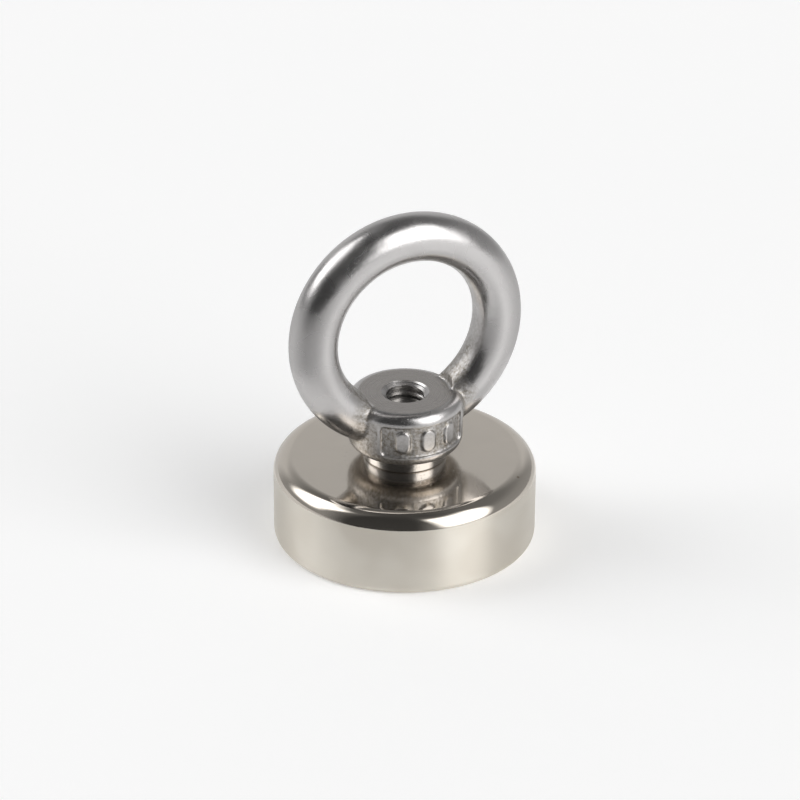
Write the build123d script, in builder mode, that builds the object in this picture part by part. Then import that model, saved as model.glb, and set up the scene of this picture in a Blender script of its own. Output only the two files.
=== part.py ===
"""Pot magnet with an eye nut: cup, ring magnet, resin seal, flat-head screw and cast eye nut.

Millimetres. The origin is the centre of the cup's rim face, which grips the steel, +Z points up
through the eye, and the eye lies in the XZ plane, so a rope or hook passes through it along Y.
"""

import os
from math import acos, asin, cos, degrees, radians, sin, sqrt

from build123d import *

# Cup, a turned steel pot that stands open side down
cup_diameter = 35.0
cup_height = 11.5
cup_wall = 3.0
cup_roof = 4.8
cup_shoulder_height = 1.9
cup_shoulder_round = 2.5
cup_rim_round = 0.9
cup_mouth_chamfer = 0.4

# Ring magnet and the resin that seals it into the cup
magnet_gap = 1.5
magnet_width = 6.0
magnet_recess = 0.3
magnet_chamfer = 0.35
resin_recess = 0.5
bond_clearance = 0.02

# Screw with a flat head and a hex socket, driven up through the cup's roof
thread_diameter = 6.0
thread_root_diameter = 4.8
screw_length = 12.0
screw_neck_length = 1.0
screw_tip_chamfer = 0.6
head_diameter = 12.0
head_land = 0.3
socket_across_flats = 4.0
socket_depth = 2.3
shank_clearance = 0.3
seat_clearance = 0.03

# Eye nut, one casting with a collar, a boss and an eye
collar_diameter = 11.0
collar_height = 1.75
boss_diameter = 15.3
boss_height = 7.6
boss_lower_round = 1.6
boss_upper_round = 1.45
bore_chamfer = 0.2
eye_outer_diameter = 32.9
eye_wire_diameter = 6.5
eye_band_width = 3.8
eye_band_relief = 0.15
eye_dip = 0.85

# Recessed panel round the front of the boss, plain but for a row of raised pads
panel_arc = 101.0
panel_margin_below = 0.05
panel_margin_above = 0.2
panel_depth = 0.4
panel_corner_round = 0.9
pad_count = 3
pad_pitch = 27.0
pad_length = 3.4
pad_width = 2.2
pad_height = 0.3
pad_draft = 15.0

# Places that follow from the sizes above
cup_radius = cup_diameter / 2
cavity_radius = cup_radius - cup_wall
cavity_depth = cup_height - cup_roof
magnet_radius = cavity_radius - magnet_gap
head_radius = head_diameter / 2
thread_radius = thread_diameter / 2
thread_root_radius = thread_root_diameter / 2
head_height = head_land + head_radius - thread_radius
collar_radius = collar_diameter / 2
boss_radius = boss_diameter / 2
boss_bottom = cup_height + collar_height
boss_top = boss_bottom + boss_height
wire_radius = eye_wire_diameter / 2
eye_mean_radius = eye_outer_diameter / 2 - wire_radius
eye_inner_radius = eye_mean_radius - wire_radius + eye_band_relief
eye_center_height = boss_top - eye_dip + eye_inner_radius

os.makedirs("parts", exist_ok=True)

# Cup: its shoulder leaves the top smoothly and meets the ground side at an edge, and its
# countersink opens into the cavity, so the screw goes in before the magnet is glued
with BuildPart() as cup:
    shoulder_sweep = acos(1 - cup_shoulder_height / cup_shoulder_round)
    with BuildSketch(Plane.XZ):
        with BuildLine():
            shoulder = CenterArc(
                (cup_radius - cup_shoulder_round * sin(shoulder_sweep), cup_height - cup_shoulder_round),
                radius=cup_shoulder_round,
                start_angle=90 - degrees(shoulder_sweep),
                arc_size=degrees(shoulder_sweep),
            )
            Polyline(shoulder @ 1, (0, cup_height), (0, 0), (cup_radius, 0), shoulder @ 0)
        make_face()
    revolve(axis=Axis.Z)
    fillet(cup.edges().group_by(Axis.Z)[0], radius=cup_rim_round)
    with BuildSketch(Plane.XY):
        Circle(cavity_radius)
    extrude(amount=cavity_depth, mode=Mode.SUBTRACT)
    cavity_mouth = cup.edges().group_by(Axis.Z)[0].sort_by(SortBy.RADIUS)[0]
    chamfer(cavity_mouth, length=cup_mouth_chamfer)
    with Locations(Plane(origin=(0, 0, cavity_depth), z_dir=(0, 0, -1))):
        CounterSinkHole(
            radius=thread_radius + shank_clearance,
            counter_sink_radius=head_radius + head_land + seat_clearance * sqrt(2),
            depth=cup_roof,
            counter_sink_angle=90,
        )

# Ring magnet: seated against the roof, its face a little higher than the cup's rim
with BuildPart() as magnet_ring:
    with BuildSketch(Plane.XY.offset(magnet_recess)):
        Circle(magnet_radius)
        Circle(magnet_radius - magnet_width, mode=Mode.SUBTRACT)
    extrude(amount=cavity_depth - magnet_recess)
    chamfer(magnet_ring.edges().filter_by(GeomType.CIRCLE), length=magnet_chamfer)

# Resin: cast into the gap between the magnet and the cup's wall
with BuildPart() as resin_seal:
    with BuildSketch(Plane.XY.offset(resin_recess)):
        Circle(cavity_radius - bond_clearance)
        Circle(magnet_radius + bond_clearance, mode=Mode.SUBTRACT)
    extrude(amount=cavity_depth - resin_recess)

# Screw: the head's face is flush with the cup's roof, and the thread is drawn at its root
with BuildPart() as screw:
    neck_bottom = cavity_depth + head_height
    neck_top = neck_bottom + screw_neck_length
    screw_top = cavity_depth + screw_length
    with BuildSketch(Plane.XZ):
        with BuildLine():
            Polyline(
                (0, cavity_depth),
                (head_radius, cavity_depth),
                (head_radius, cavity_depth + head_land),
                (thread_radius, neck_bottom),
                (thread_radius, neck_top),
                (thread_root_radius, neck_top + thread_radius - thread_root_radius),
                (thread_root_radius, screw_top - screw_tip_chamfer),
                (thread_root_radius - screw_tip_chamfer, screw_top),
                (0, screw_top),
                close=True,
            )
        make_face()
    revolve(axis=Axis.Z)
    with BuildSketch(Plane.XY.offset(cavity_depth)):
        RegularPolygon(radius=socket_across_flats / 2, side_count=6, major_radius=False)
    extrude(amount=socket_depth, mode=Mode.SUBTRACT)

# Eye nut: the boss and collar are one turned form, with the eye cast across it
with BuildPart() as eye_nut:
    with BuildSketch(Plane.XZ):
        with BuildLine():
            turned_foot = Polyline(
                (0, boss_top),
                (0, cup_height),
                (collar_radius, cup_height),
                (collar_radius, boss_bottom),
                (boss_radius - boss_lower_round, boss_bottom),
            )
            lower_round = CenterArc(
                (boss_radius - boss_lower_round, boss_bottom + boss_lower_round),
                radius=boss_lower_round,
                start_angle=-90,
                arc_size=90,
            )
            upper_round = CenterArc(
                (boss_radius - boss_upper_round, boss_top - boss_upper_round),
                radius=boss_upper_round,
                start_angle=0,
                arc_size=90,
            )
            Line(lower_round @ 1, upper_round @ 0)
            Line(upper_round @ 1, turned_foot @ 0)
        make_face()
    revolve(axis=Axis.Z)

    # The eye's wire is round outside, with a flatter band between two creases inside
    crease_angle = degrees(asin(eye_band_width / eye_wire_diameter))
    with BuildSketch(Plane.YZ):
        with BuildLine():
            wire_outside = CenterArc(
                (0, eye_center_height + eye_mean_radius),
                radius=wire_radius,
                start_angle=crease_angle - 90,
                arc_size=360 - 2 * crease_angle,
            )
            ThreePointArc(
                wire_outside @ 1,
                (0, eye_center_height + eye_inner_radius),
                wire_outside @ 0,
            )
        make_face()
    revolve(axis=Axis((0, 0, eye_center_height), (0, 1, 0)))

    # A facing cutter levels the boss's top and clears the eye's two roots
    with BuildSketch(Plane.XY.offset(boss_top)):
        Circle(boss_radius - boss_upper_round)
    extrude(amount=eye_center_height - boss_top, mode=Mode.SUBTRACT)

    # The bore runs right through at the thread's outer diameter, chamfered at both ends
    with BuildSketch(Plane.XZ):
        with BuildLine():
            Polyline(
                (0, cup_height),
                (thread_radius + bore_chamfer, cup_height),
                (thread_radius, cup_height + bore_chamfer),
                (thread_radius, boss_top - bore_chamfer),
                (thread_radius + bore_chamfer, boss_top),
                (0, boss_top),
                close=True,
            )
        make_face()
    revolve(axis=Axis.Z, mode=Mode.SUBTRACT)

    # The panel is a shallow pocket swept round the front of the boss
    panel_bottom = boss_bottom + boss_lower_round + panel_margin_below
    panel_top = boss_top - boss_upper_round - panel_margin_above
    panel_start = radians(-90 - panel_arc / 2)
    panel_plane = Plane(
        origin=(0, 0, 0),
        x_dir=(cos(panel_start), sin(panel_start), 0),
        z_dir=(sin(panel_start), -cos(panel_start), 0),
    )
    with BuildSketch(panel_plane):
        with Locations((boss_radius, (panel_bottom + panel_top) / 2)):
            Rectangle(2 * panel_depth, panel_top - panel_bottom)
    revolve(axis=Axis.Z, revolution_arc=panel_arc, mode=Mode.SUBTRACT)
    panel_corners = eye_nut.edges(Select.LAST).filter_by(GeomType.LINE).filter_by(Axis.Z, reverse=True)
    fillet(panel_corners, radius=panel_corner_round)

    # The pads stand on the panel's floor, each with its foot sunk to the depth of the panel
    for pad_number in range(pad_count):
        pad_azimuth = radians(-90 + pad_pitch * (pad_number - (pad_count - 1) / 2))
        pad_outward = Vector(cos(pad_azimuth), sin(pad_azimuth), 0)
        pad_foot = pad_outward * (boss_radius - 2 * panel_depth)
        pad_foot += Vector(0, 0, (panel_bottom + panel_top) / 2)
        with BuildSketch(Plane(origin=pad_foot, x_dir=(0, 0, 1), z_dir=pad_outward)):
            SlotOverall(width=pad_length, height=pad_width)
        extrude(amount=panel_depth + pad_height, taper=pad_draft)

cup.part.label = "cup"
magnet_ring.part.label = "magnet_ring"
resin_seal.part.label = "resin_seal"
screw.part.label = "screw"
eye_nut.part.label = "eye_nut"

export_step(cup.part, "parts/cup.step")
export_step(magnet_ring.part, "parts/magnet_ring.step")
export_step(resin_seal.part, "parts/resin_seal.step")
export_step(screw.part, "parts/screw.step")
export_step(eye_nut.part, "parts/eye_nut.step")
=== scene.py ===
"""Looks of a pot magnet: a nickel-plated cup with its ring magnet, resin and screw, and a cast eye nut.

Shapes are drawn in millimetres and brought to metres when a piece is finished. The eye lies in the XZ
plane, +Z points up along the screw, and the cup stands on its rim at the origin.
"""

import logging
import math
from collections.abc import Callable, Sequence
from dataclasses import dataclass, field
from enum import Enum
from typing import ClassVar

import bmesh
import bpy
from mathutils import Matrix, Vector, noise


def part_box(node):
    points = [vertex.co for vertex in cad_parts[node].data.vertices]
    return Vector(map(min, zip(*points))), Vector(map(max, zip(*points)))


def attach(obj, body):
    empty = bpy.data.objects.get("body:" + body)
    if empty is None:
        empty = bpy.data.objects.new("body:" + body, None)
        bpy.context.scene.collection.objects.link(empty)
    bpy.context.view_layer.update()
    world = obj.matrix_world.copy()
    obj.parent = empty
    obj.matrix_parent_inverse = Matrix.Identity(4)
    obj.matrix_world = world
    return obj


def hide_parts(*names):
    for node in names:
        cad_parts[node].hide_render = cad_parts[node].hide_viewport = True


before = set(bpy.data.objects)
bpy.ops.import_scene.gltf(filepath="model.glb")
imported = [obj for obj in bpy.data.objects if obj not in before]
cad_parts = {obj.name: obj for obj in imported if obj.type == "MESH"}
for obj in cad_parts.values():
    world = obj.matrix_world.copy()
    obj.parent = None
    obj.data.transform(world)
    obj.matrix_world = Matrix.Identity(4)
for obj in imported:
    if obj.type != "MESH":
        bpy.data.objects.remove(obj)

MILLIMETRE = 0.001
FULL_TURN = 2 * math.pi
MERGE_DISTANCE = 1e-4
CUP_STEPS = 256
EYE_STEPS = 240
BOSS_STEPS = 192
SCREW_STEPS = 96
THREAD_STEPS = 48
PAD_STEPS = 32
PANEL_STEPS = 14

# How far off a face a point still counts as on it
SLACK = 0.05

# Degrees that the camera stands to the left of the front
CAMERA_AZIMUTH = 24.98

# Nearly all of a noise's values lie between these
NOISE_SPAN = (0.3, 0.7)
SWELL_SPAN = (0.35, 0.7)

Point = tuple[float, float]
Colour = tuple[float, float, float]
Shape = bmesh.types.BMesh
Socket = bpy.types.NodeSocket
Source = Socket | float | int | tuple[float, ...] | None

logging.basicConfig(level=logging.INFO, format="%(name)s: %(message)s")
log = logging.getLogger("pot_magnet")


class Join(Enum):
    """How an exact boolean puts two solids together."""

    UNION = "UNION"
    CUT = "DIFFERENCE"
    COMMON = "INTERSECT"


class Profile:
    """Half of a turned outline in millimetres, each point a radius and a height."""

    def __init__(self, *points: Point) -> None:
        """Starts the outline with its first points, in order."""
        self.points: list[Point] = list(points)

    def line(self, *points: Point) -> None:
        """Adds straight stretches to the points."""
        self.points.extend(points)

    def arc(self, centre: Point, radius: float, start: float, end: float, steps: int = 12) -> None:
        """Adds a round stretch.

        Args:
            centre: the arc's centre.
            radius: its radius.
            start: the angle it starts at, in degrees, from the radius axis.
            end: the angle it ends at.
            steps: how many straight facets stand for it.
        """
        for step in range(steps + 1):
            angle = math.radians(start + (end - start) * step / steps)
            self.points.append((centre[0] + radius * math.cos(angle), centre[1] + radius * math.sin(angle)))


def held(value: float, low: float = 0.0) -> float:
    """Holds a share between a lowest value and 1."""
    return min(max(value, low), 1.0)


def faded(value: float, reach: float, fade: float) -> float:
    """Gives a share that falls over a stretch.

    Args:
        value: what is measured.
        reach: where nothing is left.
        fade: how long the stretch before it is.

    Returns:
        1 before the stretch, and 0 past the reach.
    """
    return held((reach - value) / fade)


def cleaned(shape: Shape) -> Shape:
    """Merges doubles and turns every face outwards.

    Args:
        shape: the closed mesh.

    Returns:
        The same mesh.
    """
    bmesh.ops.remove_doubles(shape, verts=shape.verts, dist=MERGE_DISTANCE)
    bmesh.ops.dissolve_degenerate(shape, edges=shape.edges, dist=MERGE_DISTANCE)
    bmesh.ops.recalc_face_normals(shape, faces=shape.faces)
    return shape


def draw_line(shape: Shape, corners: Sequence[Vector], closed: bool = True) -> None:
    """Draws a line of edges through the corners.

    Args:
        shape: the mesh that gets the line.
        corners: the points, in order.
        closed: whether the last corner joins the first.
    """
    line = [shape.verts.new(corner) for corner in corners]
    for first, second in zip(line, line[1:]):
        shape.edges.new((first, second))
    if closed:
        shape.edges.new((line[-1], line[0]))


def spin(
    shape: Shape,
    angle: float,
    steps: int,
    centre: Sequence[float] = (0, 0, 0),
    axis: Sequence[float] = (0, 0, 1),
    rise: float = 0.0,
) -> None:
    """Spins all that a mesh holds, and closes it where it comes round to its start.

    Args:
        shape: the mesh.
        angle: how far it goes, in radians.
        steps: how many facets that makes.
        centre: a point on the axis.
        axis: the axis's direction.
        rise: how far each step climbs.
    """
    bmesh.ops.spin(
        shape,
        geom=shape.verts[:] + shape.edges[:] + shape.faces[:],
        cent=centre,
        axis=axis,
        dvec=(0, 0, rise),
        angle=angle,
        steps=steps,
        use_merge=angle == FULL_TURN and rise == 0,
    )


def turned(profile: Profile, steps: int = CUP_STEPS) -> Shape:
    """Spins an outline a full turn about the Z axis.

    Args:
        profile: the outline; it is closed unless both of its ends lie on the axis.
        steps: how many facets go round.

    Returns:
        The closed mesh.
    """
    shape = bmesh.new()
    on_axis = profile.points[0][0] == 0 and profile.points[-1][0] == 0
    draw_line(shape, [Vector((radius, 0, height)) for radius, height in profile.points], not on_axis)
    spin(shape, FULL_TURN, steps)
    return cleaned(shape)


def coiled(section: Profile, pitch: float, start: float, turns: float) -> Shape:
    """Winds a small closed section up a helix about the Z axis.

    Args:
        section: the thread's section, with heights from its own middle.
        pitch: the rise in one turn.
        start: the height of the section's middle at the start, on +X.
        turns: how many turns it makes.

    Returns:
        The closed mesh of the ridge.
    """
    shape = bmesh.new()
    draw_line(shape, [Vector((radius, 0, start + height)) for radius, height in section.points])
    spin(shape, FULL_TURN * turns, round(turns * THREAD_STEPS), rise=pitch / THREAD_STEPS)
    bmesh.ops.holes_fill(shape, edges=[edge for edge in shape.edges if edge.is_boundary], sides=0)
    return cleaned(shape)


def drum(radius: float, bottom: float, top: float, steps: int) -> Shape:
    """Makes an upright cylinder.

    Args:
        radius: its radius.
        bottom: the height of its lower end.
        top: the height of its upper end.
        steps: how many facets go round; six make a hexagon with that outer radius.

    Returns:
        The closed mesh.
    """
    shape = bmesh.new()
    bmesh.ops.create_cone(
        shape,
        cap_ends=True,
        segments=steps,
        radius1=radius,
        radius2=radius,
        depth=top - bottom,
        matrix=Matrix.Translation((0, 0, (top + bottom) / 2)),
    )
    return shape


def round_edges(shape: Shape, edges: Sequence[bmesh.types.BMEdge], radius: float, segments: int) -> None:
    """Rounds some edges of a mesh.

    Args:
        shape: the mesh.
        edges: its edges that are rounded.
        radius: how far the rounding reaches.
        segments: how many facets stand for it.
    """
    bmesh.ops.bevel(
        shape, geom=edges, offset=radius, segments=segments, profile=0.5, affect="EDGES", material=-1
    )


def smooth(shape: Shape, corners: Sequence[bmesh.types.BMVert], times: int) -> None:
    """Evens out some of a mesh's vertices.

    Args:
        shape: the mesh.
        corners: its vertices that move.
        times: how often they move half the way to their neighbours' middle.
    """
    for _ in range(times):
        bmesh.ops.smooth_vert(
            shape, verts=corners, factor=0.5, use_axis_x=True, use_axis_y=True, use_axis_z=True
        )


def placed(name: str, data: bpy.types.ID) -> bpy.types.Object:
    """Makes an object and puts it in the scene.

    Args:
        name: the object's name.
        data: its mesh or camera.

    Returns:
        The object.
    """
    made = bpy.data.objects.new(name, data)
    bpy.context.scene.collection.objects.link(made)
    return made


class Solid:
    """A closed mesh in millimetres that modifiers change at once."""

    def __init__(self, shape: Shape) -> None:
        """Takes the mesh over.

        Args:
            shape: the closed mesh, which is freed.
        """
        self.mesh = bpy.data.meshes.new("solid")
        shape.to_mesh(self.mesh)
        shape.free()

    def _with_modifier(self, kind: str, weights: Sequence[float] = (), **settings: object) -> "Solid":
        """Applies one modifier to the mesh.

        Args:
            kind: the modifier's type.
            weights: one weight for each vertex, for the modifier's vertex group.
            settings: the modifier's own settings.

        Returns:
            The solid itself.
        """
        holder = placed("holder", self.mesh)
        modifier = holder.modifiers.new(kind.lower(), kind)
        for name, value in settings.items():
            setattr(modifier, name, value)
        if weights:
            group = holder.vertex_groups.new(name="weights")
            for index, weight in enumerate(weights):
                group.add([index], weight, "REPLACE")
            modifier.vertex_group = group.name
        graph = bpy.context.evaluated_depsgraph_get()
        changed = bpy.data.meshes.new_from_object(holder.evaluated_get(graph))
        bpy.data.objects.remove(holder)
        bpy.data.meshes.remove(self.mesh)
        self.mesh = changed
        return self

    def joined(self, other: "Solid", how: Join) -> "Solid":
        """Joins, cuts or trims this solid with another, which is used up.

        Args:
            other: the other solid.
            how: what the boolean does.

        Returns:
            The solid itself.
        """
        tool = placed("tool", other.mesh)
        self._with_modifier("BOOLEAN", object=tool, operation=how.value, solver="EXACT")
        bpy.data.objects.remove(tool)
        bpy.data.meshes.remove(other.mesh)
        return self

    def remeshed(self, voxel: float) -> "Solid":
        """Makes one even skin of the mesh, with faces of the voxel's size."""
        return self._with_modifier("REMESH", mode="VOXEL", voxel_size=voxel, adaptivity=0)

    def seated_on(self, master: "Solid", weights: Sequence[float]) -> "Solid":
        """Pulls the mesh back onto the exact surface that it was made from.

        Args:
            master: the exact solid.
            weights: how far each vertex goes, from 0 to 1.

        Returns:
            The solid itself.
        """
        target = placed("target", master.mesh)
        self._with_modifier("SHRINKWRAP", weights, target=target, wrap_method="NEAREST_SURFACEPOINT")
        bpy.data.objects.remove(target)
        return self

    def roughened(self, weights: Sequence[float], relief: float, lumps: float) -> "Solid":
        """Sinks the surface unevenly, as a cast skin is.

        Args:
            weights: how much of the relief each vertex gets, from 0 to 1.
            relief: how deep the deepest hollow is.
            lumps: the size of the lumps.

        Returns:
            The solid itself.
        """
        clouds = bpy.data.textures.new("lumps", "CLOUDS")
        clouds.noise_scale = lumps
        return self._with_modifier("DISPLACE", weights, texture=clouds, strength=relief, mid_level=1.0)

    def copy(self) -> "Solid":
        """Gives a second solid with its own mesh."""
        twin = Solid.__new__(Solid)
        twin.mesh = self.mesh.copy()
        return twin

    def edited(self, edit: Callable[[Shape], None]) -> "Solid":
        """Runs a function on the mesh.

        Args:
            edit: the function, which changes a bmesh.

        Returns:
            The solid itself.
        """
        shape = bmesh.new()
        shape.from_mesh(self.mesh)
        edit(shape)
        shape.to_mesh(self.mesh)
        shape.free()
        return self

    def finished(
        self, name: str, slot: str, sharp_angle: float, *materials: bpy.types.Material
    ) -> bpy.types.Object:
        """Brings the mesh to metres and makes the piece that stands for a CAD node.

        Args:
            name: the CAD node's name.
            slot: the record's material slot; not used.
            sharp_angle: the smallest angle, in degrees, at which an edge stays crisp.
            materials: what the piece is dressed in.

        Returns:
            The new piece, which rides on the body.
        """
        self.mesh.transform(Matrix.Scale(MILLIMETRE, 4))
        self.mesh.shade_smooth()
        self.mesh.set_sharp_from_angle(angle=math.radians(sharp_angle))
        self.mesh.name = name
        for material in materials:
            self.mesh.materials.append(material)
        piece = placed(name + "_shown", self.mesh)
        normals = piece.modifiers.new("even_shading", "WEIGHTED_NORMAL")
        normals.keep_sharp = True
        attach(piece, "root")
        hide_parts(name)
        self.mesh.calc_loop_triangles()
        log.info("%s has %d triangles", name, len(self.mesh.loop_triangles))
        return piece


class Wiring:
    """Adds nodes to one shader tree and joins them."""

    def __init__(self, tree: bpy.types.NodeTree) -> None:
        """Takes the tree of a material, a group or the world."""
        self.tree = tree

    def feed(self, socket: Socket, source: Source) -> None:
        """Gives a socket its link or its value.

        Args:
            socket: the input.
            source: the output that feeds it, or its number or colour, or None to leave it.
        """
        if isinstance(source, Socket):
            self.tree.links.new(source, socket)
        elif source is not None:
            socket.default_value = (*source, 1) if socket.type == "RGBA" else source

    def node(self, kind: str, *inputs: Source, **settings: object) -> bpy.types.Node:
        """Adds a node.

        Args:
            kind: its type, without the leading ShaderNode.
            inputs: what feeds its inputs, in order.
            settings: the node's own settings.

        Returns:
            The node.
        """
        made = self.tree.nodes.new("ShaderNode" + kind)
        for name, value in settings.items():
            setattr(made, name, value)
        for socket, source in zip(made.inputs, inputs):
            self.feed(socket, source)
        return made

    def math(self, operation: str, *inputs: Source) -> Socket:
        """Adds a Math node and gives its output."""
        return self.node("Math", *inputs, operation=operation).outputs[0]

    def times(self, first: Source, second: Source) -> Socket:
        """Multiplies two numbers."""
        return self.math("MULTIPLY", first, second)

    def vector(self, operation: str, *inputs: Source) -> Socket:
        """Adds a Vector Math node and gives its vector."""
        return self.node("VectorMath", *inputs, operation=operation).outputs[0]

    def step(
        self, value: Source, low: Source, high: Source, start: Source = 0.0, end: Source = 1.0
    ) -> Socket:
        """Adds a smooth step.

        Args:
            value: what is measured.
            low: where the step begins.
            high: where it ends; it may be the lower of the two.
            start: the result at low.
            end: the result at high.

        Returns:
            The output.
        """
        made = self.node("MapRange", value, low, high, start, end, interpolation_type="SMOOTHSTEP")
        return made.outputs[0]

    def noise(self, place: Source, scale: Source, detail: float, rough: float = 0.5) -> Socket:
        """Adds a noise and gives its value.

        Args:
            place: the point it is read at.
            scale: how many times it repeats in a unit.
            detail: how many finer layers it has.
            rough: how strong the finer layers are.

        Returns:
            The output, from 0 to 1 and mostly near a half.
        """
        made = self.node("TexNoise")
        for name, source in (("Vector", place), ("Scale", scale), ("Detail", detail), ("Roughness", rough)):
            self.feed(made.inputs[name], source)
        return made.outputs[0]

    def between(self, share: Source, first: Source, second: Source) -> Socket:
        """Mixes two numbers, with the share of the second."""
        return self.node("Mix", share, None, first, second).outputs[0]

    def mixed(self, share: Source, first: Source, second: Source) -> Socket:
        """Mixes two colours.

        Args:
            share: how much of the second shows.
            first: the colour at 0.
            second: the colour at 1.

        Returns:
            The output.
        """
        made = self.node("Mix", data_type="RGBA")
        self.feed(made.inputs[0], share)
        self.feed(made.inputs[6], first)
        self.feed(made.inputs[7], second)
        return made.outputs[2]

    def grey_ramp(self, place: Source, stops: Sequence[Point]) -> Socket:
        """Adds a ramp of greys.

        Args:
            place: the place on the ramp, from 0 to 1.
            stops: pairs of place and grey.

        Returns:
            The grey as a colour.
        """
        made = self.node("ValToRGB", place)
        elements = made.color_ramp.elements
        while len(elements) < len(stops):
            elements.new(0.5)
        for element, (position, grey) in zip(elements, stops):
            element.position = position
            element.color = (grey, grey, grey, 1)
        return made.outputs[0]

    def turned(self, place: Source, axis: str, **angle: Source) -> Socket:
        """Turns a point about the origin.

        Args:
            place: the point.
            axis: the Vector Rotate node's type.
            angle: its Angle or its Rotation, in radians.

        Returns:
            The turned point.
        """
        made = self.node("VectorRotate", place, rotation_type=axis)
        for name, value in angle.items():
            self.feed(made.inputs[name.capitalize()], value)
        return made.outputs[0]

    def bearing(self, direction: Source, azimuth: float = 0.0) -> Socket:
        """Gives the angle of a direction, seen from above.

        Args:
            direction: the direction, or a point seen from the origin.
            azimuth: where the angle is 0, in degrees to the right of straight behind the object.

        Returns:
            The angle to the right in radians, from minus to plus a half turn.
        """
        turned_there = self.turned(direction, "Z_AXIS", angle=math.radians(CAMERA_AZIMUTH + azimuth))
        across, along, _ = self.node("SeparateXYZ", turned_there).outputs
        return self.math("ARCTAN2", across, along)

    def millimetres(self) -> Socket:
        """Gives the point's place on the object, in millimetres."""
        place = self.node("TexCoord").outputs["Object"]
        return self.vector("MULTIPLY", place, (1 / MILLIMETRE,) * 3)

    def radius_and_height(self) -> tuple[Socket, Socket]:
        """Gives the distance from the screw's axis and the height, in millimetres."""
        place = self.millimetres()
        flat = self.vector("MULTIPLY", place, (1, 1, 0))
        radius = self.node("VectorMath", flat, operation="LENGTH").outputs[1]
        return radius, self.node("SeparateXYZ", place).outputs[2]


class Surface(Wiring):
    """A material's tree with its Principled shader."""

    def __init__(self, name: str, metallic: float = 1.0) -> None:
        """Makes the material.

        Args:
            name: the material's name.
            metallic: 1 for a metal, 0 for anything else.
        """
        self.material = bpy.data.materials.new(name)
        self.material.use_nodes = True
        super().__init__(self.material.node_tree)
        self.shader = self.tree.nodes["Principled BSDF"]
        self.give("Metallic", metallic)

    def give(self, name: str, source: Source) -> None:
        """Feeds one of the shader's inputs, by its name."""
        self.feed(self.shader.inputs[name], source)

    def relief(self, *layers: tuple[Socket, float]) -> None:
        """Lays bumps over one another and gives the result to the shader.

        Args:
            layers: pairs of a height and the millimetres that a height of 1 stands for, lowest layer first.
        """
        normal: Source = None
        for height, depth in layers:
            bump = self.node("Bump")
            self.feed(bump.inputs["Height"], height)
            self.feed(bump.inputs["Distance"], depth * MILLIMETRE)
            self.feed(bump.inputs["Strength"], 1.0)
            self.feed(bump.inputs["Normal"], normal)
            normal = bump.outputs[0]
        self.give("Normal", normal)


class Effect:
    """A shader group that several finishes use, built once."""

    built: dict[str, bpy.types.NodeTree] = {}

    def __init__(self, name: str, inputs: Sequence[str], draw: Callable[..., Socket]) -> None:
        """Names the effect.

        Args:
            name: the group's name.
            inputs: the names of its number inputs.
            draw: a function of a Wiring and of the inputs' outputs, that gives the result's output.
        """
        self.name, self.inputs, self.draw = name, inputs, draw

    def tree(self) -> bpy.types.NodeTree:
        """Gives the group, which is made the first time."""
        if self.name not in self.built:
            tree = bpy.data.node_groups.new(self.name, "ShaderNodeTree")
            for name in self.inputs:
                tree.interface.new_socket(name=name, in_out="INPUT", socket_type="NodeSocketFloat")
            tree.interface.new_socket(name="Value", in_out="OUTPUT", socket_type="NodeSocketFloat")
            entry = tree.nodes.new("NodeGroupInput")
            result = self.draw(Wiring(tree), *entry.outputs[: len(self.inputs)])
            tree.links.new(result, tree.nodes.new("NodeGroupOutput").inputs[0])
            self.built[self.name] = tree
        return self.built[self.name]

    def put(self, wiring: Wiring, **values: Source) -> Socket:
        """Places the effect in a material.

        Args:
            wiring: the material's wiring.
            values: what feeds its inputs, by their names in small letters.

        Returns:
            The effect's value.
        """
        made = wiring.node("Group", node_tree=self.tree())
        for name, value in values.items():
            wiring.feed(made.inputs[name.capitalize()], value)
        return made.outputs[0]


def draw_speckle(wiring: Wiring, scale: Source, share: Source) -> Socket:
    """Draws small round pits, strewn unevenly.

    Args:
        wiring: the group's wiring.
        scale: how many cells there are in a millimetre.
        share: the size of a pit as a share of its cell.

    Returns:
        1 in the middle of a pit and 0 away from it.
    """
    place = wiring.millimetres()
    cells = wiring.node("TexVoronoi", place, feature="F1")
    wiring.feed(cells.inputs["Scale"], scale)
    uneven = wiring.noise(place, scale=0.35, detail=2.0)
    reach = wiring.times(share, wiring.step(uneven, 0.42, 0.62))
    return wiring.step(cells.outputs["Distance"], 0.0, reach, 1.0, 0.0)


def draw_scratches(wiring: Wiring, scale: Source, width: Source) -> Socket:
    """Draws thin straight scratches in three directions, each broken into short lengths.

    Args:
        wiring: the group's wiring.
        scale: how close they lie.
        width: how wide they are, as a share of the noise's range.

    Returns:
        1 in a scratch and 0 beside it.
    """
    result: Source = 0.0
    for turn in (0.4, 1.9, 3.7):
        place = wiring.turned(wiring.millimetres(), "EULER_XYZ", rotation=(turn, turn * 1.7, turn * 0.6))
        streak = wiring.noise(wiring.vector("MULTIPLY", place, (2.4, 0.05, 0.07)), scale, detail=1.0)
        away = wiring.math("ABSOLUTE", wiring.math("SUBTRACT", streak, 0.5))
        line = wiring.node("MapRange", away, 0.0, width, 1.0, 0.0).outputs[0]
        lengths = wiring.noise(wiring.vector("MULTIPLY", place, (1.4, 0.25, 0.3)), scale=1.0, detail=1.0)
        result = wiring.math("MAXIMUM", result, wiring.times(line, wiring.step(lengths, 0.58, 0.68)))
    return result


def draw_swell(wiring: Wiring, scale: Source) -> Socket:
    """Draws a slow unevenness.

    Args:
        wiring: the group's wiring.
        scale: how many swells there are in a millimetre.

    Returns:
        A value around a half.
    """
    return wiring.noise(wiring.millimetres(), scale, detail=1.0, rough=0.4)


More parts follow.
